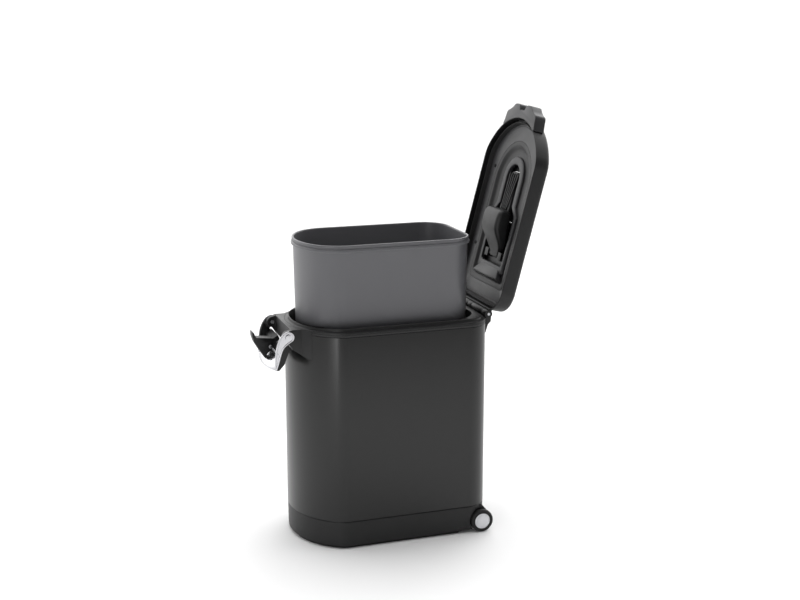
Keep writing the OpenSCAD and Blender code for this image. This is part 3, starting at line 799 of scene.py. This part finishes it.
def spring(name, start, length, radius, wire, turns, metal):
    """A coil along X grown from a spiral and a round section."""
    tree, ins, outs = new_tree(name, {"Turns": float(turns), "Radius": radius * MM,
                                      "Length": length * MM, "Wire": wire * MM})
    coil = add(tree, "GeometryNodeCurveSpiral", {"in:Resolution": 28},
               {"Rotations": ins.outputs["Turns"], "Start Radius": ins.outputs["Radius"],
                "End Radius": ins.outputs["Radius"], "Height": ins.outputs["Length"]})
    section = add(tree, "GeometryNodeCurvePrimitiveCircle", {"in:Resolution": 12},
                  {"Radius": ins.outputs["Wire"]})
    tube = add(tree, "GeometryNodeCurveToMesh", {"in:Fill Caps": True},
               {"Curve": coil.outputs["Curve"], "Profile Curve": section.outputs["Curve"]})
    real = add(tree, "GeometryNodeRealizeInstances", {}, {"Geometry": tube.outputs["Mesh"]})
    paint = add(tree, "GeometryNodeSetMaterial", {"in:Material": metal},
                {"Geometry": real.outputs["Geometry"]})
    tree.links.new(paint.outputs["Geometry"], outs.inputs["Geometry"])
    piece = grown(f"{name}_wire", tree, {})
    piece.data.transform(Matrix.Translation(Vector(start) * MM) @ Matrix.Rotation(pi / 2, 4, "Y"))
    smooth(piece.data, 60)
    return piece


def springs():
    """The press arm's spring on its pin, and the latch hook's on its own."""
    pin = (22.9, ahead(112), up(24))
    show(open_lid(spring("arm_spring", pin, 4.4, 4.4, 0.7, 3, blackened)), "press_spring",
         blackened)
    hook = [c / MM for c in joint["hook_pivot"]["pos_m"]]
    start = (12.6, hook[1], hook[2])
    show(spring("latch_spring", start, 3.8, 3.1, 0.6, 3, zinc), "hook_spring")


# ---------------------------------------------------------------- wheels

def wheels():
    """A tyre, a disc with a raised rim and a centre cap for each side."""
    r, w = wheel_r, wheel_high.x - wheel_low.x
    tread = r - 8
    tyre_profile = [(tread, 0.4), (r - 3.2, 0.2), (r - 1.4, 1.0), (r - 0.4, 2.4), (r, 4.2),
                    (r, w - 4.2), (r - 0.4, w - 2.4), (r - 1.4, w - 1.0), (r - 3.2, w - 0.2),
                    (tread + 0.6, w), (tread, w - 0.6)]
    disc_profile = [(axle_hole_r, 0.6), (tread - 0.1, 0.6), (tread - 0.1, w - 1.2),
                    (tread - 0.8, w - 0.5), (tread - 2.2, w - 0.5), (tread - 3.0, w - 1.1), (13.4, w - 1.2),
                    (12.7, w - 0.9), (axle_hole_r, w - 0.9)]
    cap_profile = [(0.01, w - 0.6), (11.9, w - 0.6), (12.1, w - 0.2), (11.4, w + 0.15),
                   (6, w + 0.3), (0.01, w + 0.3)]
    for side, label in ((1, "right"), (-1, "left")):
        show(turned(f"tyre_tread_{label}", tyre_profile, side), f"tyre_{label}")
        show(turned(f"wheel_disc_{label}", disc_profile, side), f"hub_{label}")
        show(turned(f"wheel_cap_{label}", cap_profile, side), f"hub_cap_{label}")


# ---------------------------------------------------------------- stage

def stage():
    """A wide white paper floor, a room lit from behind, and three soft lamps."""
    floor_side = 60
    bpy.ops.mesh.primitive_plane_add(size=floor_side)
    floor = bpy.context.object
    floor.name = "studio_floor"
    paper = bpy.data.materials.new("white_paper_floor")
    paper.use_nodes = True
    shader = paper.node_tree.nodes["Principled BSDF"]
    shader.inputs["Base Color"].default_value = linear("#f4f4f4")
    shader.inputs["Roughness"].default_value = 0.9
    floor.data.materials.append(paper)
    world = bpy.data.worlds.new("studio_light")
    world.use_nodes = True
    tree = world.node_tree
    # A white wall behind the bin and a dim room in front of it, mixed by direction
    wall_side = (-0.93, 0.32, 0.2)
    place = add(tree, "ShaderNodeTexCoord")
    toward = add(tree, "ShaderNodeVectorMath", {"operation": "DOT_PRODUCT"},
                 {0: place.outputs["Generated"]})
    toward.inputs[1].default_value = wall_side
    share = add(tree, "ShaderNodeMapRange", {"in:From Min": -0.35, "in:From Max": 0.6,
                                             "in:To Min": 0.16, "in:To Max": 2.1},
                {"Value": toward.outputs["Value"]})
    tree.links.new(share.outputs["Result"], tree.nodes["Background"].inputs["Strength"])
    tree.nodes["Background"].inputs["Color"].default_value = (1, 1, 1, 1)
    bpy.context.scene.world = world
    # Name, place, width and height in metres, and power in watts
    lights = [("strip_front", (2.1, -1.95, 0.9), (0.5, 1.6), 14),
              ("back_soft", (-2.4, 1.6, 2.6), (2, 2), 22),
              ("top_soft", (0.2, 0, 3.2), (2.4, 2.4), 20)]
    aim = Vector((0, 0, 0.4))
    for name, place, (wide, tall), power in lights:
        light = bpy.data.lights.new(name, "AREA")
        light.shape = "RECTANGLE"
        light.size, light.size_y = wide, tall
        light.energy = power
        lamp = bpy.data.objects.new(name, light)
        lamp.location = place
        lamp.rotation_euler = (aim - Vector(place)).to_track_quat("-Z", "Y").to_euler()
        bpy.context.scene.collection.objects.link(lamp)


def camera():
    """A camera ahead of the bin's right side, a little above its middle."""
    azimuth, elevation = radians(71.22), radians(13.17)
    distance, sideways, middle = 2.92768, 0.01821, Vector((0, 0.02805, 0.50862))
    back = Vector((sin(azimuth) * cos(elevation), -cos(azimuth) * cos(elevation), sin(elevation)))
    right = Vector((cos(azimuth), sin(azimuth), 0))
    eye = bpy.data.cameras.new("studio_camera")
    eye.sensor_width = 36.0
    eye.lens = 60.24
    view = bpy.data.objects.new("studio_camera", eye)
    view.location = back * distance + right * sideways + middle
    view.rotation_euler = (-back).to_track_quat("-Z", "Y").to_euler()
    bpy.context.scene.collection.objects.link(view)
    bpy.context.scene.camera = view


# ---------------------------------------------------------------- build

# CAD nodes whose shape is right and whose edges need rounding: the new piece and its radius in mm
ROUNDED = {
    "front_bracket": ("bracket_moulding", 1.4),
    "hinge_bracket": ("hinge_bracket_moulding", 0.9),
    "hinge_leaf": ("hinge_leaf_moulding", 0.9),
    "handle_lining": ("handle_grip_liner", 2.0),
    "latch_hook": ("hook_moulding", 1.3),
    "fairing_left": ("wheel_housing_left", 0.9),
    "fairing_right": ("wheel_housing_right", 0.9),
    "foot_rail": ("foot_rail_moulding", 0.8),
    "press_grip": ("grip_plate", 0.8),
    "press_blocks": ("arm_blocks", 0.8),
    "cap_left": ("pivot_cap_left", 0.6),
    "cap_right": ("pivot_cap_right", 0.6),
}

bpy.context.scene.view_settings.view_transform = "Standard"
camera()
stage()
outer_shell()
base_moulding()
collar_ring()
bucket()
lid_cover()
lid_frame()
lid_seal()
lid_panel()
keyhole_ring()
press_arm()
wheels()
for node, (name, radius) in ROUNDED.items():
    refined(node, name, radius)
handle_sheet()
springs()
# Every CAD node gets its finish, for the sake of those that no new piece replaces
for node, carried in frame["nodes"].items():
    carried.data.materials.clear()
    dark = node in ("press_pin", "lid_screws")
    carried.data.materials.append(blackened if dark else FINISHES[SLOT_OF[node]])
